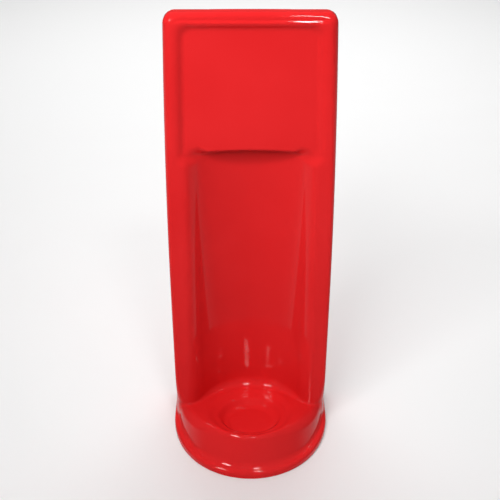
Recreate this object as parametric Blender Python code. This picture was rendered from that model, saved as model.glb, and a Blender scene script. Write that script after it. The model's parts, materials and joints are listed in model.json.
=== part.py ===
"""Single fire extinguisher stand: a glossy red moulded shell with a sign panel over an alcove and a
stepped round seat, closed by a rear panel and a base plate, on four rubber feet.

Metres, +Z up, the stand faces -Y. The origin is on the floor, under the middle of the box it fills.
"""

import math

import bmesh
import bpy

MM = 0.001
GAP = 0.3 * MM

# Driving dimensions of the whole stand
HEIGHT = 736 * MM
DEPTH = 222 * MM
FRONT = -DEPTH / 2
BACK = DEPTH / 2
WALL = 3.5 * MM
FOOT_REACH = 1 * MM  # the feet reach this far below the shell's skirt

# Column: its half-width is constant low down and draws in towards the top
COLUMN_HALF_WIDTH = 133.8 * MM
TAPER_START = 280 * MM
TAPER_AT_TOP = 9.2 * MM
COLUMN_EDGE_RADIUS = 8 * MM
COLUMN_LEVELS = (TAPER_START, 400 * MM, 500 * MM, 600 * MM, 680 * MM)
TOP_CORNER_RADIUS = 14 * MM
FACE_FOOT_Y = 19.7 * MM
FACE_FOOT_Z = 46.3 * MM
FACE_LEAN = math.radians(5)

# Plinth: a round-fronted skirt on the floor, and a cone that narrows up to the seat's rim
SKIRT_HALF_WIDTH = 140 * MM
ROUND_CENTRE_Y = 39 * MM
SKIRT_REACH = ROUND_CENTRE_Y - FRONT
SKIRT_EDGE_HEIGHT = 6 * MM
SKIRT_TOP_HEIGHT = 13 * MM
SKIRT_BEVEL = 4 * MM
CONE_FOOT_HALF_WIDTH = 131.5 * MM
CONE_FOOT_REACH = 139.5 * MM
CONE_FOOT_POWER = 1.9  # 2 is an ellipse, less is more pointed
CONE_TOP_Z = 80 * MM
CONE_TOP_HALF_WIDTH = 125 * MM
CONE_TOP_REACH = 111 * MM
CONE_TOP_POWER = 1.6

# Seat: a plane that slopes down to the back, with round steps for the extinguisher's foot ring
SEAT_SLOPE = math.radians(12)
SEAT_CENTRE_Y = -1.8 * MM
RING_RADII = (72 * MM, 58 * MM)
RING_STEPS = (5 * MM, 15 * MM)
RING_DRAFTS = (4 * MM, 14 * MM)
RING_HEADROOM = 60 * MM  # how far the cutter of the round steps stands out of the seat

# Alcove that holds the extinguisher, and the sign panel over it
ALCOVE_HALF_WIDTH = 93 * MM
ALCOVE_REAR_Y = 98.5 * MM
ALCOVE_POWER = 1.8
ALCOVE_ROOF_REAR_Z = 524 * MM
ALCOVE_ROOF_FRONT_Z = 531.5 * MM
ALCOVE_AHEAD = 150 * MM  # how far its cutter stands out of the face
PANEL_BOTTOM = 517 * MM  # over the strips; between them the recess opens into the alcove
PANEL_TOP = 713 * MM
PANEL_DEPTH = 7 * MM
PANEL_MARGIN = 28.5 * MM
PANEL_SIDE_SPREAD = 9 * MM  # the walls spread out towards the face
PANEL_TOP_SPREAD = 8 * MM
PANEL_BOTTOM_SPREAD = 3 * MM
PANEL_CORNER_RADIUS = 6 * MM
PANEL_PROUD = 20 * MM  # how far its cutter stands out of the face

# Rear panel, its flange on the shell, and its rivets
REAR_PANEL_THICKNESS = 3 * MM
RIVET_HEAD_HEIGHT = 1.5 * MM
RIVET_HEAD_RADIUS = 4.8 * MM
RIVET_SHANK_RADIUS = 2 * MM
RIVET_TAIL_RADIUS = 3.2 * MM
RIVET_TAIL_LENGTH = 4 * MM
FLANGE_WIDTH = 17 * MM
REAR_PANEL_BACK_Y = BACK - RIVET_HEAD_HEIGHT
REAR_PANEL_FRONT_Y = REAR_PANEL_BACK_Y - REAR_PANEL_THICKNESS
SHELL_BACK_Y = REAR_PANEL_FRONT_Y - GAP
REAR_PANEL_MARGIN = 2 * MM
RIVET_INSET = 10.5 * MM
RIVET_LEVELS = (60 * MM, 220 * MM, 380 * MM, 540 * MM)
TOP_RIVET_X = 55 * MM

# Base plate, the ribbed support under the seat, the feet and their screws
BASE_PLATE_BOTTOM = 4.3 * MM
BASE_PLATE_TOP = 8.3 * MM
BASE_PLATE_CLEARANCE = 1 * MM
BASE_PLATE_SHOULDER = 6 * MM
RIB_THICKNESS = 4 * MM
RIB_ROWS_X = (-75 * MM, 0, 75 * MM)
RIB_ROWS_Y = (-60 * MM, 6 * MM, 72 * MM)
RIB_OVERHANG = 14 * MM
RIB_STAGGER = 1 * MM
BOSS_RADIUS = 7 * MM
BOSS_HEIGHT = 24 * MM
FOOT_RADIUS = 15 * MM
FOOT_DRAFT = 1.5 * MM
FOOT_HEIGHT = 4 * MM
SCREW_SHANK_RADIUS = 2 * MM
SCREW_HEAD_RADIUS = 4 * MM
SCREW_HEAD_BOTTOM = 1 * MM
SCREW_HEAD_TOP = 3 * MM
SCREW_TIP_Z = 21 * MM
CLEARANCE = 0.3 * MM
RIVET_HOLE_RADIUS = RIVET_SHANK_RADIUS + CLEARANCE
SCREW_HOLE_RADIUS = SCREW_SHANK_RADIUS + CLEARANCE

HOLLOW_BOTTOM = -10 * MM  # the hollow runs out below the floor, so that the shell is open there
STAGGER = 0.5 * MM  # keeps faces of joined forms from lying in one plane
HALF_SPACE = 200 * MM  # larger than the plinth in every direction
ARC_STEPS = 5
ROUND_STEPS = 20
SEAT_ROUND_STEPS = 36
HOLE_STEPS = 10
FASTENER_STEPS = 10
FOOT_STEPS = 20


# ---------------------------------------------------------------- shape formulas


def column_half_width(z):
    """Half-width of the column's sides at height z."""
    rise = max(0.0, z - TAPER_START) / (HEIGHT - TAPER_START)
    return COLUMN_HALF_WIDTH - TAPER_AT_TOP * rise**2


def face_y(z):
    """The column's front face at height z; it leans back as it rises."""
    return FACE_FOOT_Y + (z - FACE_FOOT_Z) * math.tan(FACE_LEAN)


def seat_z(y, drop=0.0):
    """The seat plane's height at y, lowered by drop."""
    return FACE_FOOT_Z + (FACE_FOOT_Y - y) * math.tan(SEAT_SLOPE) - drop


def set_back(distance, radius):
    """How far a rounded edge has drawn in, at this distance before its end."""
    inside = max(0.0, radius - distance)
    return radius - math.sqrt(radius**2 - inside**2)


def arc(centre_x, centre_y, radius, start, end, steps=ARC_STEPS):
    """Points on an arc, with its angles in degrees."""
    angles = [math.radians(start + (end - start) * i / steps) for i in range(steps + 1)]
    return [(centre_x + radius * math.cos(a), centre_y + radius * math.sin(a)) for a in angles]


def half_round(power):
    """Places (across, ahead) on a half-round of size 1, from right to left."""
    turn = [math.pi * i / ROUND_STEPS for i in range(ROUND_STEPS + 1)]
    share = 2 / power
    return [
        (math.copysign(abs(math.cos(a)) ** share, math.cos(a)), max(0.0, math.sin(a)) ** share)
        for a in turn
    ]


# ---------------------------------------------------------------- mesh helpers


def new_object(name, bm):
    """Makes a scene object from a bmesh, as triangles with their faces pointing out."""
    bmesh.ops.triangulate(bm, faces=bm.faces)
    bmesh.ops.recalc_face_normals(bm, faces=bm.faces)
    mesh = bpy.data.meshes.new(name)
    bm.to_mesh(mesh)
    bm.free()
    obj = bpy.data.objects.new(name, mesh)
    bpy.context.scene.collection.objects.link(obj)
    return obj


def loft(name, rings):
    """A closed solid through rings of 3-D points, with flat ends."""
    bm = bmesh.new()
    rows = [[bm.verts.new(p) for p in ring] for ring in rings]
    count = len(rings[0])
    for low, high in zip(rows, rows[1:]):
        for i in range(count):
            j = (i + 1) % count
            bm.faces.new((low[i], low[j], high[j], high[i]))
    bm.faces.new(rows[0])
    bm.faces.new(rows[-1])
    return new_object(name, bm)


def box(name, low, high):
    """A rectangular block between two corners."""
    corners = [(low[0], low[1]), (high[0], low[1]), (high[0], high[1]), (low[0], high[1])]
    return loft(name, [[(x, y, z) for x, y in corners] for z in (low[2], high[2])])


def turned(name, profile, steps):
    """A solid turned about Z from (radius, height) pairs, bottom to top."""
    turn = [2 * math.pi * i / steps for i in range(steps)]
    return loft(name, [[(r * math.cos(a), r * math.sin(a), z) for a in turn] for r, z in profile])


def place(obj, location, rotation=(0, 0, 0)):
    obj.location = location
    obj.rotation_euler = rotation
    return obj


def combine(obj, other, operation):
    """Adds a Boolean of another object, which then only guides the shape."""
    modifier = obj.modifiers.new(f"{operation.lower()}_{other.name}", "BOOLEAN")
    modifier.object = other
    modifier.operation = operation
    modifier.solver = "EXACT"
    other.hide_render = True
    other.display_type = "WIRE"


def finish(obj, made):
    obj.data.materials.append(made)
    obj.data.shade_smooth()
    obj.data.set_sharp_from_angle(angle=math.radians(35))
    return obj


def new_material(name, colour, roughness, metallic=0.0):
    made = bpy.data.materials.new(name)
    made.use_nodes = True
    shader = made.node_tree.nodes["Principled BSDF"]
    shader.inputs["Base Color"].default_value = (*colour, 1)
    shader.inputs["Roughness"].default_value = roughness
    shader.inputs["Metallic"].default_value = metallic
    return made


# ---------------------------------------------------------------- outer form, at any inset


def column(name, inset):
    """The leaning column, with rounded outer edges; inset draws in its sides, face and top."""
    top = HEIGHT - inset
    corner = TOP_CORNER_RADIUS - inset
    edge = COLUMN_EDGE_RADIUS - inset
    bottom = HOLLOW_BOTTOM if inset else FOOT_REACH
    levels = [bottom + STAGGER, *COLUMN_LEVELS]
    levels += [top - corner * (1 - math.sin(math.radians(a))) for a in (0, 20, 40, 60, 80, 90)]
    rear = SHELL_BACK_Y - inset
    rings = []
    for z in levels:
        half = column_half_width(z) - inset - set_back(top - z, corner)
        front = face_y(z) + inset + set_back(top - z, edge)
        outline = arc(half - edge, front + edge, edge, 0, -90)
        outline += arc(-half + edge, front + edge, edge, -90, -180)
        outline += [(-half, rear), (half, rear)]
        rings.append([(x, y, z) for x, y in outline])
    return loft(name, rings)


def round_front(half_width, reach, z, rear, power=2.0):
    """A plan outline with straight sides and a half-round front, at height z."""
    outline = [
        (half_width * across, ROUND_CENTRE_Y - reach * ahead, z)
        for across, ahead in half_round(power)
    ]
    return outline + [(-half_width, rear, z), (half_width, rear, z)]


def plinth(name, inset):
    """Skirt and cone, cut off by the sloping seat plane."""
    rear = SHELL_BACK_Y - inset - STAGGER
    bottom = HOLLOW_BOTTOM if inset else FOOT_REACH
    skirt_half = SKIRT_HALF_WIDTH - inset
    skirt_reach = SKIRT_REACH - inset
    rings = []
    for z, draw_in in (
        (bottom, 0),
        (SKIRT_EDGE_HEIGHT, 0),
        (SKIRT_EDGE_HEIGHT + SKIRT_BEVEL - inset, SKIRT_BEVEL / 3),
        (SKIRT_TOP_HEIGHT - inset, SKIRT_BEVEL),
    ):
        rings.append(round_front(skirt_half - draw_in, skirt_reach - draw_in, z, rear))
    for half, reach, z, power in (
        (CONE_FOOT_HALF_WIDTH, CONE_FOOT_REACH, SKIRT_TOP_HEIGHT + STAGGER - inset, CONE_FOOT_POWER),
        (CONE_TOP_HALF_WIDTH, CONE_TOP_REACH, CONE_TOP_Z, CONE_TOP_POWER),
    ):
        rings.append(round_front(half - inset, reach - inset, z, rear, power))
    form = loft(name, rings)
    corners = [(-1, -1), (1, -1), (1, 1), (-1, 1)]
    above = [
        [(x * HALF_SPACE, y * HALF_SPACE, seat_z(y * HALF_SPACE, inset) + lift) for x, y in corners]
        for lift in (0, HALF_SPACE)
    ]
    combine(form, loft(name + "_seat_plane", above), "DIFFERENCE")
    return form


def alcove_roof_z(y):
    """The alcove's roof slopes down from its front edge to the rear."""
    front = face_y(ALCOVE_ROOF_FRONT_Z)
    slope = (ALCOVE_ROOF_REAR_Z - ALCOVE_ROOF_FRONT_Z) / (ALCOVE_REAR_Y - front)
    return ALCOVE_ROOF_FRONT_Z + slope * (y - front)


def alcove(name, inset):
    """The hollow that holds the extinguisher, from the seat plane up to its sloping roof."""
    half = ALCOVE_HALF_WIDTH + inset
    rear = ALCOVE_REAR_Y + inset
    rings = []
    for level in (0, 0.25, 0.5, 0.75, 1):
        front = face_y(FACE_FOOT_Z + level * (ALCOVE_ROOF_FRONT_Z - FACE_FOOT_Z))
        plan = [(half, front - ALCOVE_AHEAD)]
        plan += [(half * across, front + (rear - front) * deep) for across, deep in half_round(ALCOVE_POWER)]
        plan += [(-half, front - ALCOVE_AHEAD)]
        ring = []
        for x, y in plan:
            floor_z = seat_z(y, inset + STAGGER)
            ring.append((x, y, floor_z + (alcove_roof_z(y) + inset - floor_z) * level))
        rings.append(ring)
    return loft(name, rings)


def sign_recess(name, inset):
    """The shallow drafted recess of the sign panel."""
    depth = PANEL_DEPTH + inset
    radius = PANEL_CORNER_RADIUS
    rings = []
    for along in (-PANEL_PROUD, depth):
        share = (depth - along) / PANEL_DEPTH
        side = PANEL_SIDE_SPREAD * share - inset - PANEL_MARGIN
        half_low = column_half_width(PANEL_BOTTOM) + side
        half_high = column_half_width(PANEL_TOP) + side
        bottom = PANEL_BOTTOM - PANEL_BOTTOM_SPREAD * share + inset
        top = PANEL_TOP + PANEL_TOP_SPREAD * share - inset
        outline = arc(half_high - radius, top - radius, radius, 0, 90, 3)
        outline += arc(-half_high + radius, top - radius, radius, 90, 180, 3)
        outline += [(-half_low, bottom), (half_low, bottom)]
        rings.append([(x, face_y(z) + along, z) for x, z in outline])
    return loft(name, rings)


def seat_rings(name, inset):
    """Stepped round recess below the seat plane, square to it."""
    outer, inner = (radius + inset for radius in RING_RADII)
    outer_draft, inner_draft = RING_DRAFTS
    step, rise = RING_STEPS
    landing = -step - inset
    profile = [
        (inner - inner_draft, landing - rise),
        (inner, landing),
        (outer - outer_draft, landing + GAP / 30),
        (outer, -inset),
        (outer, RING_HEADROOM),
    ]
    form = turned(name, profile, SEAT_ROUND_STEPS)
    return place(form, (0, SEAT_CENTRE_Y, seat_z(SEAT_CENTRE_Y)), (-SEAT_SLOPE, 0, 0))


def outer_form(name, inset):
    """The stand's whole form, drawn in by inset."""
    form = column(name, inset)
    combine(form, plinth(name + "_plinth", inset), "UNION")
    combine(form, alcove(name + "_alcove", inset), "DIFFERENCE")
    combine(form, sign_recess(name + "_sign", inset), "DIFFERENCE")
    combine(form, seat_rings(name + "_rings", inset), "DIFFERENCE")
    return form


# ---------------------------------------------------------------- pieces


def rivet_places():
    """(name, x, z) of each rear rivet, around the rear panel's edge."""
    places = []
    for side, sign in (("left", -1), ("right", 1)):
        for number, z in enumerate(RIVET_LEVELS, 1):
            places.append((f"rear_rivet_{side}_{number}", sign * (column_half_width(z) - RIVET_INSET), z))
        places.append((f"rear_rivet_top_{side}", sign * TOP_RIVET_X, HEIGHT - RIVET_INSET))
    return places


def foot_places():
    """(name, x, y) of each foot."""
    return [
        ("front_left", -75 * MM, -60 * MM),
        ("front_right", 75 * MM, -60 * MM),
        ("rear_left", -75 * MM, 72 * MM),
        ("rear_right", 75 * MM, 72 * MM),
    ]


def column_outline(inset, bottom):
    """The column's outline seen from the back, from bottom up, drawn in by inset."""
    top = HEIGHT - inset
    corner = TOP_CORNER_RADIUS
    levels = [bottom, *COLUMN_LEVELS, top - corner]
    side = [(column_half_width(z) - inset, z) for z in levels]
    half = side[-1][0]
    over = arc(half - corner, top - corner, corner, 0, 90)[1:]
    right = side + over
    return right + [(-x, z) for x, z in reversed(right)]


def upright_plate(name, outline, front, back):
    return loft(name, [[(x, y, z) for x, z in outline] for y in (front, back)])


def drill(obj, name, radius, centre, along, length):
    """Cuts a round hole, centred on a point, along Y or Z."""
    cutter = turned(name, [(radius, -length / 2), (radius, length / 2)], HOLE_STEPS)
    turn = (math.radians(90), 0, 0) if along == "Y" else (0, 0, 0)
    combine(obj, place(cutter, centre, turn), "DIFFERENCE")


def front_shell(paint):
    shell = outer_form("front_shell", 0)
    combine(shell, outer_form("shell_hollow", WALL), "DIFFERENCE")
    opening = column_outline(FLANGE_WIDTH, -20 * MM)
    cutter = upright_plate("shell_rear_opening", opening, ALCOVE_REAR_Y + WALL + GAP / 3, BACK)
    combine(shell, cutter, "DIFFERENCE")
    for name, x, z in rivet_places():
        drill(shell, "flange_hole_" + name, RIVET_HOLE_RADIUS, (x, SHELL_BACK_Y, z), "Y", 3 * WALL)
    return finish(shell, paint)


def rear_panel(paint):
    outline = column_outline(REAR_PANEL_MARGIN, BASE_PLATE_TOP + BASE_PLATE_CLEARANCE)
    panel = upright_plate("rear_panel", outline, REAR_PANEL_FRONT_Y, REAR_PANEL_BACK_Y)
    for name, x, z in rivet_places():
        drill(panel, "panel_hole_" + name, RIVET_HOLE_RADIUS, (x, REAR_PANEL_FRONT_Y, z), "Y", 3 * WALL)
    return finish(panel, paint)


def rear_rivets(metal):
    """Blind rivets: a domed head behind the rear panel, a shank, and a set tail inside the flange."""
    tail_top = REAR_PANEL_BACK_Y - (SHELL_BACK_Y - WALL) + GAP
    profile = [
        (RIVET_TAIL_RADIUS * 0.6, -tail_top - RIVET_TAIL_LENGTH),
        (RIVET_TAIL_RADIUS, -tail_top - RIVET_TAIL_LENGTH * 0.6),
        (RIVET_TAIL_RADIUS, -tail_top),
        (RIVET_SHANK_RADIUS, -tail_top),
        (RIVET_SHANK_RADIUS, GAP / 2),
        (RIVET_HEAD_RADIUS, GAP / 2),
        (RIVET_HEAD_RADIUS * 0.8, RIVET_HEAD_HEIGHT * 0.7),
        (RIVET_HEAD_RADIUS * 0.4, RIVET_HEAD_HEIGHT),
    ]
    for name, x, z in rivet_places():
        rivet = turned(name, profile, FASTENER_STEPS)
        finish(place(rivet, (x, REAR_PANEL_BACK_Y, z), (math.radians(-90), 0, 0)), metal)


def base_plate(plastic):
    """Closes the underside, just inside the skirt."""
    inset = WALL + GAP
    rear = SHELL_BACK_Y - WALL - GAP - STAGGER
    rings = [round_front(SKIRT_HALF_WIDTH - inset, SKIRT_REACH - inset, z, rear)
             for z in (BASE_PLATE_BOTTOM, SKIRT_EDGE_HEIGHT - MM)]
    inset += BASE_PLATE_SHOULDER
    rings.append(round_front(SKIRT_HALF_WIDTH - inset, SKIRT_REACH - inset, BASE_PLATE_TOP, rear))
    plate = loft("base_plate", rings)
    for name, x, y in foot_places():
        drill(plate, "plate_hole_" + name, SCREW_HOLE_RADIUS, (x, y, BASE_PLATE_TOP), "Z", 2 * SCREW_TIP_Z)
    return finish(plate, plastic)


def seat_support(plastic):
    """An egg-crate of ribs that carries the seat on the base plate, with a boss over each foot."""
    bottom = BASE_PLATE_TOP + GAP
    height = 80 * MM
    half = RIB_THICKNESS / 2
    front = RIB_ROWS_Y[0] - RIB_OVERHANG
    rear = RIB_ROWS_Y[-1] + RIB_OVERHANG
    crate = None
    for number, x in enumerate(RIB_ROWS_X, 1):
        rib = box(f"long_rib_{number}", (x - half, front, bottom), (x + half, rear, height))
        if crate:
            combine(crate, rib, "UNION")
        else:
            crate = rib
    crate.name = "seat_support"
    side = RIB_ROWS_X[-1] + RIB_OVERHANG
    for number, y in enumerate(RIB_ROWS_Y, 1):
        low = (-side, y - half, bottom + RIB_STAGGER)
        high = (side, y + half, height - RIB_STAGGER)
        combine(crate, box(f"cross_rib_{number}", low, high), "UNION")
    for name, x, y in foot_places():
        boss_profile = [(BOSS_RADIUS, bottom + RIB_STAGGER / 2), (BOSS_RADIUS, BOSS_HEIGHT)]
        boss = turned("boss_" + name, boss_profile, FOOT_STEPS)
        combine(crate, place(boss, (x, y, 0)), "UNION")
    combine(crate, outer_form("support_room", WALL + GAP), "INTERSECT")
    for name, x, y in foot_places():
        drill(crate, "boss_hole_" + name, SCREW_HOLE_RADIUS, (x, y, 0), "Z", 2 * (SCREW_TIP_Z + GAP))
    return finish(crate, plastic)


def feet(rubber):
    for name, x, y in foot_places():
        profile = [(FOOT_RADIUS - FOOT_DRAFT, 0), (FOOT_RADIUS, FOOT_HEIGHT)]
        foot = place(turned("foot_" + name, profile, FOOT_STEPS), (x, y, 0))
        drill(foot, "foot_bore_" + name, SCREW_HOLE_RADIUS, (x, y, FOOT_HEIGHT), "Z", 2 * SCREW_TIP_Z)
        seat = 2 * (SCREW_HEAD_TOP + CLEARANCE)
        drill(foot, "foot_counterbore_" + name, SCREW_HEAD_RADIUS + CLEARANCE, (x, y, 0), "Z", seat)
        finish(foot, rubber)


def foot_screws(metal):
    for name, x, y in foot_places():
        profile = [
            (SCREW_HEAD_RADIUS, SCREW_HEAD_BOTTOM),
            (SCREW_HEAD_RADIUS, SCREW_HEAD_TOP),
            (SCREW_SHANK_RADIUS, SCREW_HEAD_TOP),
            (SCREW_SHANK_RADIUS, SCREW_TIP_Z - SCREW_SHANK_RADIUS),
            (SCREW_SHANK_RADIUS * 0.3, SCREW_TIP_Z),
        ]
        finish(place(turned("foot_screw_" + name, profile, FASTENER_STEPS), (x, y, 0)), metal)


def main():
    for obj in list(bpy.data.objects):
        bpy.data.objects.remove(obj)
    red = new_material("gloss_red_plastic", (0.79, 0.015, 0.018), 0.12)
    black = new_material("black_plastic", (0.03, 0.03, 0.032), 0.45)
    rubber = new_material("black_rubber", (0.02, 0.02, 0.02), 0.8)
    aluminium = new_material("rivet_aluminium", (0.75, 0.76, 0.78), 0.35, 1.0)
    steel = new_material("zinc_steel", (0.62, 0.63, 0.65), 0.3, 1.0)
    front_shell(red)
    rear_panel(red)
    rear_rivets(aluminium)
    base_plate(black)
    seat_support(black)
    feet(rubber)
    foot_screws(steel)


main()
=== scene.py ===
"""Looks of the fire extinguisher stand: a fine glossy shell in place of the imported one, materials for
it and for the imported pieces, the floor, the lights and the camera.

The shell is described by one function that is negative inside it, zero on its surface and positive
outside, in millimetres. Its mesh is the zero surface of that function, given a wall on the inside.
"""

import json
import math

import bpy
import numpy as np
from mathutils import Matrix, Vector


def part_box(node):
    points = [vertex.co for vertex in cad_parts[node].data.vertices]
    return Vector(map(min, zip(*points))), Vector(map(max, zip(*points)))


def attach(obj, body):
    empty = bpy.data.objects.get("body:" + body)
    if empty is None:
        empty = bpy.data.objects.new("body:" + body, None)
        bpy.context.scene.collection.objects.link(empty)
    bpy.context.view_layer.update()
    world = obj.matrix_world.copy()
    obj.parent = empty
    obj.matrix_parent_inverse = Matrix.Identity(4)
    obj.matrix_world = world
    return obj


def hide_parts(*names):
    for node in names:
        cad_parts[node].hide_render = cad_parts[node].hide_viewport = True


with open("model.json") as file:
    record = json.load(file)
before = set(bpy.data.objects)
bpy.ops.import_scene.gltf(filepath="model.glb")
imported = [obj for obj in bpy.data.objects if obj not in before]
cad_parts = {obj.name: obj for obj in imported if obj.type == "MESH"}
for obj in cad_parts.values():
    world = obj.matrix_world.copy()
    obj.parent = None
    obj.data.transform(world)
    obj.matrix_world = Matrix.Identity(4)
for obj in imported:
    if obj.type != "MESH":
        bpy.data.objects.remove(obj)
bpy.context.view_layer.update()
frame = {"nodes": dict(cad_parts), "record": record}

MM = 0.001
shell_low, shell_high = (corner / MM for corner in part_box("front_shell"))

# The shell's driving sizes, in millimetres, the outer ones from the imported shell
SKIRT_HALF_WIDTH = shell_high.x
SHELL_FRONT_Y = shell_low.y
SHELL_BACK_Y = shell_high.y
SHELL_BOTTOM = shell_low.z
HEIGHT = shell_high.z
WALL = 3.5
FLANGE_WIDTH = 17
BACK_EDGE_RADIUS = 2.5

# Column
COLUMN_HALF_WIDTH = 134.1
TAPER_START = 280
TAPER_AT_TOP = 9.2
TOP_CROWN = 1.6
TOP_CORNER_RADIUS = 15
EDGE_RADIUS_LOW = 5
EDGE_RADIUS_AT_TOP = 14
EDGE_RADIUS_AT_FOOT = 21
EDGE_FLARE_START = 115
FACE_FOOT_Y = 19.7  # where the front face meets the seat plane
FACE_FOOT_Z = 46.3
FACE_LEAN = math.radians(5)

# Plinth: skirt, cone, and the seat plane that cuts the cone off
ROUND_CENTRE_Y = 39
SKIRT_TOP_Z = 13
SKIRT_EDGE_RADIUS = 6.5
SKIRT_POWER = 2.1
CONE_FOOT_SIZE = (131.5, 139.5)  # half-width and reach at the skirt's top
CONE_DRAW_IN = (0.09, 0.42)  # per millimetre of height
CONE_POWERS = (1.9, 1.65)  # at the skirt's top and at the rim
CONE_RIM_Z = 67
RIM_EDGE_PLACES = (50, 100)  # distances from the middle plane
RIM_EDGE_RADII = (8, 16)
CREASE_PLACES = (50, 95)
CREASE_RADII = (10, 4)
SEAT_SLOPE = math.radians(12)
SEAT_CENTRE_Y = -1.8
FOOT_FILLET_PLACES = (30, 85)  # along Y
FOOT_FILLET_RADII = (5, 20)

# Round steps in the seat: radius at the upper edge, depth below the seat plane, draw-in of the wall
OUTER_STEP = (72, 5, 4)
INNER_STEP = (58, 20, 14)
STEP_EDGE_RADIUS = 4
STEP_FLOOR_RADIUS = 6
STEP_HEADROOM = 25

# Alcove
ALCOVE_HALF_WIDTH = 92.5
ALCOVE_REAR_Y = 98.5  # at the roof
ALCOVE_REAR_LEAN = 8.5  # how far the rear comes forward at the floor
ALCOVE_POWER = 1.8
ALCOVE_EDGE_RADII = (22, 12)  # at the seat and at the roof
ALCOVE_ROOF_FRONT_Z = 531.5
ALCOVE_ROOF_DROP = 0.2
ALCOVE_ROOF_ARCH = 5
ALCOVE_ROOF_RADIUS = 8
LIP_RADIUS = 3.5
LIP_HALF_WIDTH = 79
LIP_FADE = 12
LIP_DROP = (16, 24)  # below the roof's front, where the lip's radius gives way to the strips'

# Sign recess: its floor is inside these edges, and its walls spread out towards the face
RECESS_DEPTH = 7
RECESS_MARGIN = 28.5
RECESS_SIDE_SPREAD = 9
RECESS_TOP_Z = 713
RECESS_TOP_SPREAD = 8
RECESS_BOTTOM_Z = 517
RECESS_BOTTOM_SPREAD = 6
RECESS_CORNER_RADIUS = 9
RECESS_FLOOR_BEND = 2.5
LEDGE_REACH = 14
LEDGE_BENDS = (5, 3.5)  # reach of the bend into the face, at the ledge and above it

# Soft step between the bead over the recess and the cap
CAP_STEP_Z = (721.5, 727)
CAP_SET_BACK = 2.6
CAP_HALF_LENGTH = 116
CAP_FADE = 15
CAP_EDGE_RADIUS = 7

# Mesh of the shell, in millimetres
FINE_STEP = 2.4
COARSE_STEP = 7
STRAIGHT_STRETCHES = ((112, 500), (548, 700))  # along Z, where the shell changes slowly
NUDGE = 0.05  # how far apart a slope is measured, to each side
LEAST_SLOPE = 0.5
RELAX_ROUNDS = 4
BACK_TOLERANCE = 0.1
TINY = 1e-6  # keeps divisors off zero

# Materials: linear colours, and roughness from smooth to worn
RED_SHADES = ((0.79, 0.018, 0.020), (0.83, 0.022, 0.024))
BLACK_PLASTIC = (0.012, 0.012, 0.013)
BLACK_RUBBER = (0.010, 0.010, 0.010)
ALUMINIUM = (0.72, 0.73, 0.74)
ZINC = (0.62, 0.63, 0.64)
SHELL_ROUGHNESS = (0.04, 0.07)
PANEL_ROUGHNESS = (0.22, 0.32)
UNEVENNESS = 0.15  # of the duller finishes' colour and roughness
FLOOR_GREY = 0.92
FLOOR_ROUGHNESS = 0.6

# Floor edges, lamps and camera, in metres
FLOOR_SIDE = 1.9
FLOOR_FRONT = -1.9
FLOOR_BACK = 3.4
STAND_MIDDLE = (0, 0, 0.4)
BACKGROUND_GREY = 0.95
SURROUNDING_LIGHT = 0.10
MIRRORED_GREYS = (0.07, 0.6)
CAMERA_PLACE = (0, -1.0103, 1.050)
CAMERA_TILT = math.radians(57)
CAMERA_LENS = 55.87
CAMERA_SENSOR = 36
CAMERA_SHIFT_X = -0.0008


# ---------------------------------------------------------------- the shell's form


def rounded_edge(a, b, radius):
    """Where forms a and b overlap, with the edge between them rounded."""
    return np.minimum(-radius, np.maximum(a, b)) + np.hypot(
        np.maximum(radius + a, 0), np.maximum(radius + b, 0)
    )


def filleted(a, b, radius):
    """Forms a and b together, with a fillet in the corner between them."""
    return np.maximum(radius, np.minimum(a, b)) - np.hypot(
        np.maximum(radius - a, 0), np.maximum(radius - b, 0)
    )


def blended(a, b, reach):
    """Where forms a and b overlap, with a soft bend where they meet at a flat angle."""
    near = np.maximum(reach - np.abs(a - b), 0) / reach
    return np.maximum(a, b) + near**2 * reach / 4


def ellipse(u, v, half_u, half_v, power):
    """Distance to a rounded outline, good close to it: an ellipse for a power of 2, squarer for
    more and more pointed for less.
    """
    u = np.maximum(np.abs(u) / half_u, TINY)
    v = np.maximum(np.abs(v) / half_v, TINY)
    size = (u**power + v**power) ** (1 / power)
    slope_u = (u / size) ** (power - 1) / half_u
    slope_v = (v / size) ** (power - 1) / half_v
    return (size - 1) / np.hypot(slope_u, slope_v)


def column_half_width(z):
    """The column's sides are upright up to the taper's start, then draw in more and more."""
    rise = np.maximum(0, z - TAPER_START) / (HEIGHT - TAPER_START)
    return COLUMN_HALF_WIDTH - TAPER_AT_TOP * rise**2


def face_y(z):
    """The front face's plane, as Y at each height."""
    return FACE_FOOT_Y + (z - FACE_FOOT_Z) * math.tan(FACE_LEAN)


def seat_z(y):
    """The seat's plane, as Z at each depth."""
    return FACE_FOOT_Z + (FACE_FOOT_Y - y) * math.tan(SEAT_SLOPE)


def column_outline(x, z):
    """The column seen from the front: straight sides that draw in, a crowned top, round corners."""
    side = np.abs(x) - column_half_width(z)
    top = z - HEIGHT + TOP_CROWN * (x / COLUMN_HALF_WIDTH) ** 2
    return rounded_edge(side, top, TOP_CORNER_RADIUS)


def cap_share(x, z):
    """From 0 to 1 where the soft step over the top bead takes the face back to the cap."""
    start, end = CAP_STEP_Z
    rise = np.clip((z - start) / (end - start), 0, 1)
    ends = np.clip((CAP_HALF_LENGTH - np.abs(x)) / CAP_FADE, 0, 1)
    return rise**2 * (3 - 2 * rise) * ends


def column(x, y, z):
    """The column without its recesses; its front edges are roundest at the top and at the foot."""
    cap = cap_share(x, z)
    face = (face_y(z) - y) * math.cos(FACE_LEAN) + CAP_SET_BACK * cap
    radius = EDGE_RADIUS_LOW + (EDGE_RADIUS_AT_TOP - EDGE_RADIUS_LOW) * (z / HEIGHT) ** 2
    flare = np.clip((EDGE_FLARE_START - z) / (EDGE_FLARE_START - FACE_FOOT_Z), 0, 1)
    radius += (EDGE_RADIUS_AT_FOOT - EDGE_RADIUS_LOW) * flare**2
    radius += (CAP_EDGE_RADIUS - EDGE_RADIUS_AT_TOP) * cap
    return rounded_edge(column_outline(x, z), face, radius)


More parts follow.
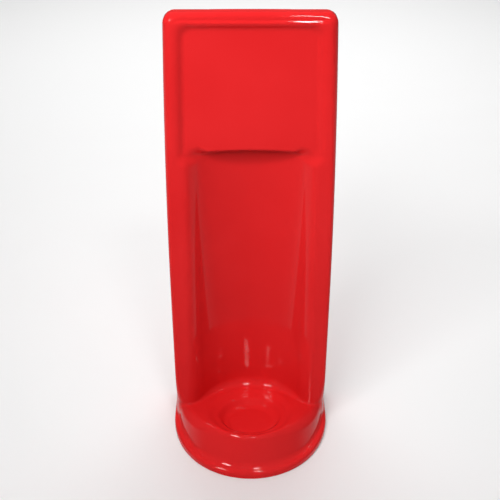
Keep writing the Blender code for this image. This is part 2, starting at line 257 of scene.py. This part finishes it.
def drafted(outside, depth, spread):
    """A recess wall: outside is the distance past its foot, and it spreads out towards the face."""
    return ((outside - spread) * RECESS_DEPTH + spread * depth) / math.hypot(RECESS_DEPTH, spread)


def sign_recess(x, y, z):
    """The shallow recess over the alcove, with a flat floor parallel to the face."""
    depth = y - face_y(z)
    side = drafted(np.abs(x) - column_half_width(z) + RECESS_MARGIN, depth, RECESS_SIDE_SPREAD)
    top = drafted(z - RECESS_TOP_Z, depth, RECESS_TOP_SPREAD)
    bottom = drafted(RECESS_BOTTOM_Z - z, depth, RECESS_BOTTOM_SPREAD)
    outline = rounded_edge(side, top, RECESS_CORNER_RADIUS)
    outline = rounded_edge(outline, bottom, RECESS_CORNER_RADIUS)
    return blended(outline, depth - RECESS_DEPTH, RECESS_FLOOR_BEND)


def alcove(x, y, z):
    """A trough with a nearly half-elliptical plan, open to the front and below, under a sloping roof."""
    front = face_y(z)
    deep = np.maximum(y - front, 0)
    rear = ALCOVE_REAR_Y - ALCOVE_REAR_LEAN * np.clip(1 - z / ALCOVE_ROOF_FRONT_Z, 0, 1)
    wall = ellipse(x, deep, ALCOVE_HALF_WIDTH, rear - front, ALCOVE_POWER)
    roof_z = ALCOVE_ROOF_FRONT_Z - ALCOVE_ROOF_DROP * (y - face_y(ALCOVE_ROOF_FRONT_Z))
    roof_z -= ALCOVE_ROOF_ARCH * (x / ALCOVE_HALF_WIDTH) ** 2
    roof = (z - roof_z) / math.hypot(1, ALCOVE_ROOF_DROP)
    return rounded_edge(wall, roof, ALCOVE_ROOF_RADIUS)


def alcove_edge_radius(x, z):
    """The strips' inner edges grow rounder towards the foot; the lip of the roof is tight."""
    strip = np.interp(z, (FACE_FOOT_Z, ALCOVE_ROOF_FRONT_Z), ALCOVE_EDGE_RADII)
    off_lip = np.clip((np.abs(x) - LIP_HALF_WIDTH + LIP_FADE) / LIP_FADE, 0, 1)
    below_lip = np.interp(ALCOVE_ROOF_FRONT_Z - z, LIP_DROP, (0, 1))
    return LIP_RADIUS + (strip - LIP_RADIUS) * np.maximum(off_lip, below_lip)


def cone(x, y, z):
    """The plinth's leaning round wall, cut off by the seat plane; its rim is rounder at the sides."""
    rise = np.clip(z - SKIRT_TOP_Z, -SKIRT_TOP_Z, CONE_RIM_Z)
    half, reach = (size - draw * rise for size, draw in zip(CONE_FOOT_SIZE, CONE_DRAW_IN))
    power = np.interp(z, (SKIRT_TOP_Z, CONE_RIM_Z), CONE_POWERS)
    wall = ellipse(x, np.minimum(y - ROUND_CENTRE_Y, 0), half, reach, power)
    seat = (z - seat_z(y)) * math.cos(SEAT_SLOPE)
    return rounded_edge(wall, seat, np.interp(np.abs(x), RIM_EDGE_PLACES, RIM_EDGE_RADII))


def skirt(x, y, z):
    """The low round foot of the plinth."""
    ahead = np.minimum(y - ROUND_CENTRE_Y, 0)
    outline = ellipse(x, ahead, SKIRT_HALF_WIDTH, ROUND_CENTRE_Y - SHELL_FRONT_Y, SKIRT_POWER)
    return rounded_edge(outline, z - SKIRT_TOP_Z, SKIRT_EDGE_RADIUS)


def round_step(radial, above, top, step):
    """One round step: a drafted wall from its upper edge down to its floor."""
    radius, depth, draw_in = step
    slant = draw_in / (depth - top)
    wall = (radial - radius - np.minimum(above + top, 0) * slant) / math.hypot(1, slant)
    return rounded_edge(wall, -depth - above, STEP_FLOOR_RADIUS)


def seat_steps(x, y, z):
    """The seat's two round steps, square to the seat plane."""
    centre_z = seat_z(SEAT_CENTRE_Y)
    along = (y - SEAT_CENTRE_Y) * math.cos(SEAT_SLOPE) - (z - centre_z) * math.sin(SEAT_SLOPE)
    above = (y - SEAT_CENTRE_Y) * math.sin(SEAT_SLOPE) + (z - centre_z) * math.cos(SEAT_SLOPE)
    radial = np.hypot(x, along)
    outer = round_step(radial, above, 0, OUTER_STEP)
    inner = round_step(radial, above, OUTER_STEP[1], INNER_STEP)
    return np.maximum(filleted(outer, inner, STEP_EDGE_RADIUS), above - STEP_HEADROOM)


def shell_form(x, y, z):
    """The whole shell's outside. It runs on below the floor, where its mesh is cut.

    The fillet under the column is tight under the strips and wide at the alcove's rear.
    """
    ledge_bend = np.interp(z, (RECESS_BOTTOM_Z, RECESS_BOTTOM_Z + LEDGE_REACH), LEDGE_BENDS)
    foot_fillet = np.interp(y, FOOT_FILLET_PLACES, FOOT_FILLET_RADII)
    crease = np.interp(np.abs(x), CREASE_PLACES, CREASE_RADII)
    body = blended(column(x, y, z), -sign_recess(x, y, z), ledge_bend)
    body = rounded_edge(body, -alcove(x, y, z), alcove_edge_radius(x, z))
    body = filleted(body, cone(x, y, z), foot_fillet)
    body = filleted(body, skirt(x, y, z), crease)
    body = rounded_edge(body, -seat_steps(x, y, z), STEP_EDGE_RADIUS)
    return rounded_edge(body, y - SHELL_BACK_Y, BACK_EDGE_RADIUS)


# ---------------------------------------------------------------- from a form to a mesh


def gradient(form, points):
    """How the form grows along X, Y and Z at each point."""
    slopes = []
    for axis in range(3):
        step = np.zeros(3)
        step[axis] = NUDGE
        slopes.append((form(*(points + step).T) - form(*(points - step).T)) / (2 * NUDGE))
    return np.stack(slopes, axis=1)


def settle(form, points, level=0.0, rounds=3):
    """Moves points onto the surface where the form has this level, with no leaps where it is flat."""
    for _ in range(rounds):
        slope = gradient(form, points)
        excess = form(*points.T) - level
        steepness = np.maximum((slope**2).sum(axis=1), LEAST_SLOPE**2)
        points = points - slope * (excess / steepness)[:, None]
    return points


def grid_places(*stretches):
    """Grid planes along one axis, from (start, end, step) stretches that follow each other."""
    places = []
    for start, end, step in stretches:
        count = max(1, round((end - start) / step))
        places.append(np.linspace(start, end, count, endpoint=False))
    places.append([end])
    return np.concatenate(places)


def net(form, axes):
    """Points and outward quads of the form's surface: one point in each grid cell that it crosses."""
    inside = form(*np.meshgrid(*axes, indexing="ij")) < 0
    corners = [
        inside[i : inside.shape[0] - 1 + i, j : inside.shape[1] - 1 + j, k : inside.shape[2] - 1 + k]
        for i in (0, 1) for j in (0, 1) for k in (0, 1)
    ]
    crossed = np.any(corners, axis=0) & ~np.all(corners, axis=0)
    number = np.full(crossed.shape, -1)
    number[crossed] = np.arange(crossed.sum())
    cells = np.argwhere(crossed)
    middles = [(axis[1:] + axis[:-1]) / 2 for axis in axes]
    points = np.stack([middle[cell] for middle, cell in zip(middles, cells.T)], axis=1)
    quads = []
    for a, b, c in ((0, 1, 2), (1, 2, 0), (2, 0, 1)):
        ends = np.moveaxis(inside, (a, b, c), (0, 1, 2))
        numbers = np.moveaxis(number, (a, b, c), (0, 1, 2))
        low, high = ends[:-1, 1:-1, 1:-1], ends[1:, 1:-1, 1:-1]
        i, j, k = np.nonzero(low != high)
        around = [numbers[i, j, k], numbers[i, j + 1, k], numbers[i, j + 1, k + 1], numbers[i, j, k + 1]]
        ring = np.stack(around, axis=1)
        outward = low[i, j, k]
        quads.append(ring[outward])
        quads.append(ring[~outward][:, ::-1])
    return points, np.concatenate(quads)


def relaxed(points, quads):
    """Each point in the middle of the quads round it, which evens out their sizes."""
    middles = points[quads].mean(axis=1)
    total = np.zeros_like(points)
    uses = np.zeros(len(points))
    for corner in range(4):
        np.add.at(total, quads[:, corner], middles)
        np.add.at(uses, quads[:, corner], 1)
    return total / uses[:, None]


def keep_used(points, quads):
    """Only the points that a quad uses, and the quads renumbered to match."""
    used, renumbered = np.unique(quads, return_inverse=True)
    return points[used], renumbered.reshape(quads.shape)


def rim_quads(quads, count):
    """Quads from a sheet's open edges to the same edges of its copy, count points further on."""
    starts = quads.ravel()
    ends = np.roll(quads, -1, axis=1).ravel()
    open_edge = ~np.isin(starts * count + ends, ends * count + starts)
    first, second = starts[open_edge], ends[open_edge]
    return np.stack([second, first, first + count, second + count], axis=1)


def flat_normals(points, quads):
    """Each quad's own normal, from the two edges at its first corner."""
    first, second, _, last = np.moveaxis(points[quads], 1, 0)
    across = np.cross(second - first, last - first)
    return across / np.maximum(np.linalg.norm(across, axis=1), TINY)[:, None]


def walled(name, form, points, quads):
    """A closed mesh from an open sheet: the sheet, the same sheet a wall further in, and a rim."""
    normals = gradient(form, points)
    normals /= np.linalg.norm(normals, axis=1)[:, None]
    inner = settle(form, points - normals * WALL, -WALL, 1)
    inner[:, 2] = np.maximum(inner[:, 2], SHELL_BOTTOM)
    inner[points[:, 2] <= SHELL_BOTTOM, 2] = SHELL_BOTTOM
    both = np.concatenate([points, inner])
    rim = rim_quads(quads, len(points))
    faces = np.concatenate([quads, quads[:, ::-1] + len(points), rim])
    mesh = bpy.data.meshes.new(name)
    mesh.from_pydata((both * MM).tolist(), [], faces.tolist())
    mesh.shade_smooth()
    corner_normals = np.concatenate([normals, -normals])[faces]
    corner_normals[-len(rim):] = flat_normals(both, rim)[:, None, :]
    mesh.normals_split_custom_set(corner_normals.reshape(-1, 3).tolist())
    return add_object(name, mesh)


def add_object(name, data):
    obj = bpy.data.objects.new(name, data)
    bpy.context.scene.collection.objects.link(obj)
    return obj


def grid_axes():
    """Grid planes across X, Y and Z, further apart along Z where the shell changes slowly."""
    edge = 3 * FINE_STEP
    (low_start, low_end), (high_start, high_end) = STRAIGHT_STRETCHES
    return (
        grid_places((-SKIRT_HALF_WIDTH - edge, SKIRT_HALF_WIDTH + edge, FINE_STEP)),
        grid_places((SHELL_FRONT_Y - edge, SHELL_BACK_Y + edge, FINE_STEP)),
        grid_places(
            (SHELL_BOTTOM - edge, low_start, FINE_STEP),
            (low_start, low_end, COARSE_STEP),
            (low_end, high_start, FINE_STEP),
            (high_start, high_end, COARSE_STEP),
            (high_end, HEIGHT + edge, FINE_STEP),
        ),
    )


def make_shell():
    """The shell, open underneath and at its back, where a flange runs round the opening."""
    points, quads = net(shell_form, grid_axes())
    points = settle(shell_form, points)
    for _ in range(RELAX_ROUNDS):
        points = settle(shell_form, relaxed(points, quads), rounds=1)
    points = settle(shell_form, points)
    low = points[:, 2] < SHELL_BOTTOM
    behind = points[:, 1] > SHELL_BACK_Y - BACK_TOLERANCE
    opening = behind & (column_outline(points[:, 0], points[:, 2]) < -FLANGE_WIDTH)
    gone = low[quads].all(axis=1) | opening[quads].any(axis=1)
    points[low, 2] = SHELL_BOTTOM
    points, quads = keep_used(points, quads[~gone])
    return walled("front_shell_fine", shell_form, points, quads)


# ---------------------------------------------------------------- materials


def new_material(name, colour, roughness, metallic=0.0):
    made = bpy.data.materials.new(name)
    made.use_nodes = True
    shader = made.node_tree.nodes["Principled BSDF"]
    shader.inputs["Base Color"].default_value = (*colour, 1)
    shader.inputs["Roughness"].default_value = roughness
    shader.inputs["Metallic"].default_value = metallic
    return made, shader


def noise(made, scale, detail=2.0):
    """A noise texture in the object's own coordinates; its Fac output."""
    nodes = made.node_tree.nodes
    where = nodes.new("ShaderNodeTexCoord")
    texture = nodes.new("ShaderNodeTexNoise")
    texture.inputs["Scale"].default_value = scale
    texture.inputs["Detail"].default_value = detail
    made.node_tree.links.new(where.outputs["Object"], texture.inputs["Vector"])
    return texture.outputs["Fac"]


def vary(made, socket, source, places, colours):
    """Feeds a socket with two colours or greys, blended between two places of a source's range."""
    node = made.node_tree.nodes.new("ShaderNodeValToRGB")
    for element, place, colour in zip(node.color_ramp.elements, places, colours):
        element.position = place
        element.color = (*colour, 1)
    made.node_tree.links.new(source, node.inputs["Fac"])
    made.node_tree.links.new(node.outputs["Color"], socket)


def add_bump(made, shader, source, strength, distance):
    bump = made.node_tree.nodes.new("ShaderNodeBump")
    bump.inputs["Strength"].default_value = strength
    bump.inputs["Distance"].default_value = distance
    made.node_tree.links.new(source, bump.inputs["Height"])
    made.node_tree.links.new(bump.outputs["Normal"], shader.inputs["Normal"])


def grey(value):
    return (value, value, value)


def glossy_red(name, roughness_range):
    """Glossy moulded plastic: an even red with faint clouds, orange peel and fine handling marks."""
    made, shader = new_material(name, RED_SHADES[0], roughness_range[0])
    shader.inputs["IOR"].default_value = 1.5
    shader.inputs["Specular IOR Level"].default_value = 0.42
    clouds = noise(made, scale=6.0)
    vary(made, shader.inputs["Base Color"], clouds, (0.35, 0.65), RED_SHADES)
    marks = noise(made, scale=60.0, detail=6.0)
    vary(made, shader.inputs["Roughness"], marks, (0.45, 0.75), map(grey, roughness_range))
    add_bump(made, shader, noise(made, scale=140.0, detail=1.0), strength=0.06, distance=0.0006)
    return made


def dull(name, colour, roughness, metallic=0.0, grain=900.0, strength=0.2):
    """A plainer finish with a fine grain and slightly uneven gloss."""
    made, shader = new_material(name, colour, roughness, metallic)
    darker = tuple((1 - UNEVENNESS) * part for part in colour)
    vary(made, shader.inputs["Base Color"], noise(made, scale=25.0), (0.35, 0.65), (darker, colour))
    greys = (grey((1 - UNEVENNESS) * roughness), grey((1 + UNEVENNESS) * roughness))
    vary(made, shader.inputs["Roughness"], noise(made, scale=90.0, detail=4.0), (0.3, 0.7), greys)
    add_bump(made, shader, noise(made, scale=grain), strength, distance=0.0003)
    return made


# ---------------------------------------------------------------- pieces


def dress(obj, made):
    obj.data.materials.clear()
    obj.data.materials.append(made)


def dress_packed_pieces():
    """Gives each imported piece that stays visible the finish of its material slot."""
    metal = {"metallic": 1.0, "grain": 500.0, "strength": 0.1}
    finishes = {
        "red_panel": glossy_red("rear_panel_red_plastic", PANEL_ROUGHNESS),
        "black_plastic": dull("black_moulded_plastic", BLACK_PLASTIC, 0.45),
        "rubber": dull("black_rubber", BLACK_RUBBER, 0.7),
        "rivet_aluminium": dull("rivet_aluminium", ALUMINIUM, 0.3, **metal),
        "zinc_steel": dull("zinc_plated_steel", ZINC, 0.35, **metal),
    }
    slots = {part["node"]: part["material_slot"] for part in frame["record"]["subparts"]}
    for name, obj in frame["nodes"].items():
        if name != "front_shell":
            dress(obj, finishes[slots[name]])


def add_fine_shell():
    shell = make_shell()
    dress(shell, glossy_red("glossy_red_plastic", SHELL_ROUGHNESS))
    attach(shell, "root")
    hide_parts("front_shell")


# ---------------------------------------------------------------- floor, lights and camera


def make_floor():
    """A pale floor. Glossy surfaces mirror the studio's surroundings in its place."""
    corners = (
        (-FLOOR_SIDE, FLOOR_FRONT, 0),
        (FLOOR_SIDE, FLOOR_FRONT, 0),
        (FLOOR_SIDE, FLOOR_BACK, 0),
        (-FLOOR_SIDE, FLOOR_BACK, 0),
    )
    mesh = bpy.data.meshes.new("floor")
    mesh.from_pydata(corners, [], [(0, 1, 2, 3)])
    made, _ = new_material("pale_floor", grey(FLOOR_GREY), FLOOR_ROUGHNESS)
    mesh.materials.append(made)
    floor = add_object("floor", mesh)
    floor.visible_glossy = False


def soft_light(name, place, target, size, watts, mirrored=False, spread=180):
    """A rectangular lamp aimed at a point; only a mirrored one shows in glossy surfaces."""
    lamp = bpy.data.lights.new(name, "AREA")
    lamp.shape = "RECTANGLE"
    lamp.size, lamp.size_y = size
    lamp.energy = watts
    lamp.spread = math.radians(spread)
    obj = add_object(name, lamp)
    obj.location = place
    obj.rotation_euler = (Vector(target) - Vector(place)).to_track_quat("-Z", "Y").to_euler()
    obj.visible_glossy = mirrored


def sky_light(strength, softness):
    """Even light from straight above, which whitens the floor and hardly reaches upright faces."""
    lamp = bpy.data.lights.new("sky", "SUN")
    lamp.energy = strength
    lamp.angle = math.radians(softness)
    add_object("sky", lamp).visible_glossy = False


def smooth_rise(tree, source, start, end):
    """From 0 to 1, with soft ends, as the source goes from start to end."""
    node = tree.nodes.new("ShaderNodeMapRange")
    node.interpolation_type = "SMOOTHSTEP"
    node.inputs["From Min"].default_value = start
    node.inputs["From Max"].default_value = end
    tree.links.new(source, node.inputs["Value"])
    return node.outputs["Result"]


def mirrored_grey(tree):
    """What glossy surfaces mirror: dim surroundings, brighter low down beside and behind the stand."""
    direction = tree.nodes.new("ShaderNodeSeparateXYZ")
    where = tree.nodes.new("ShaderNodeTexCoord")
    tree.links.new(where.outputs["Generated"], direction.inputs["Vector"])
    low_behind = tree.nodes.new("ShaderNodeMath")
    low_behind.operation = "MULTIPLY"
    behind = smooth_rise(tree, direction.outputs["Y"], -0.6, 0.4)
    low_down = smooth_rise(tree, direction.outputs["Z"], -0.10, -0.35)
    tree.links.new(behind, low_behind.inputs[0])
    tree.links.new(low_down, low_behind.inputs[1])
    shade = tree.nodes.new("ShaderNodeMapRange")
    shade.inputs["To Min"].default_value, shade.inputs["To Max"].default_value = MIRRORED_GREYS
    tree.links.new(low_behind.outputs["Value"], shade.inputs["Value"])
    return shade.outputs["Result"]


def mixed(tree, share, first, second):
    node = tree.nodes.new("ShaderNodeMixShader")
    tree.links.new(share, node.inputs["Fac"])
    tree.links.new(first.outputs[0], node.inputs[1])
    tree.links.new(second.outputs[0], node.inputs[2])
    return node


def make_world():
    """A pale background for the camera, mirrored greys for glossy rays, and dim light for the rest."""
    world = bpy.data.worlds.new("studio")
    world.use_nodes = True
    tree = world.node_tree
    pale = tree.nodes["Background"]
    pale.inputs["Color"].default_value = (*grey(BACKGROUND_GREY), 1)
    light = tree.nodes.new("ShaderNodeBackground")
    light.inputs["Color"].default_value = (*grey(SURROUNDING_LIGHT), 1)
    mirrored = tree.nodes.new("ShaderNodeBackground")
    tree.links.new(mirrored_grey(tree), mirrored.inputs["Color"])
    path = tree.nodes.new("ShaderNodeLightPath")
    unseen = mixed(tree, path.outputs["Is Glossy Ray"], light, mirrored)
    whole = mixed(tree, path.outputs["Is Camera Ray"], unseen, pale)
    tree.links.new(whole.outputs["Shader"], tree.nodes["World Output"].inputs["Surface"])
    bpy.context.scene.world = world


def make_lights():
    """The key light falls on the upper part; the two windows give the glossy shell its highlights."""
    soft_light("key", (-0.45, -1.05, 1.55), (0, 0, 0.76), (0.6, 0.6), watts=1.9, spread=64)
    soft_light("overhead", (0, 2.3, 2.5), (0, 2.3, 0), (3.0, 2.5), watts=70)
    soft_light("top", (-0.2, -0.4, 2.4), STAND_MIDDLE, (1.2, 0.8), watts=3)
    soft_light("window_left", (-1.1, -1.0, 2.0), STAND_MIDDLE, (0.40, 0.30), watts=10, mirrored=True)
    soft_light("window_right", (0.30, -1.0, 2.0), STAND_MIDDLE, (0.28, 0.20), watts=6, mirrored=True)
    sky_light(strength=0.55, softness=40)
    make_world()


def make_camera():
    lens = bpy.data.cameras.new("camera")
    lens.sensor_width = CAMERA_SENSOR
    lens.lens = CAMERA_LENS
    lens.shift_x = CAMERA_SHIFT_X
    camera = add_object("camera", lens)
    camera.location = CAMERA_PLACE
    camera.rotation_euler = (CAMERA_TILT, 0, 0)
    bpy.context.scene.camera = camera
    bpy.context.scene.view_settings.view_transform = "Standard"


dress_packed_pieces()
add_fine_shell()
make_floor()
make_lights()
make_camera()
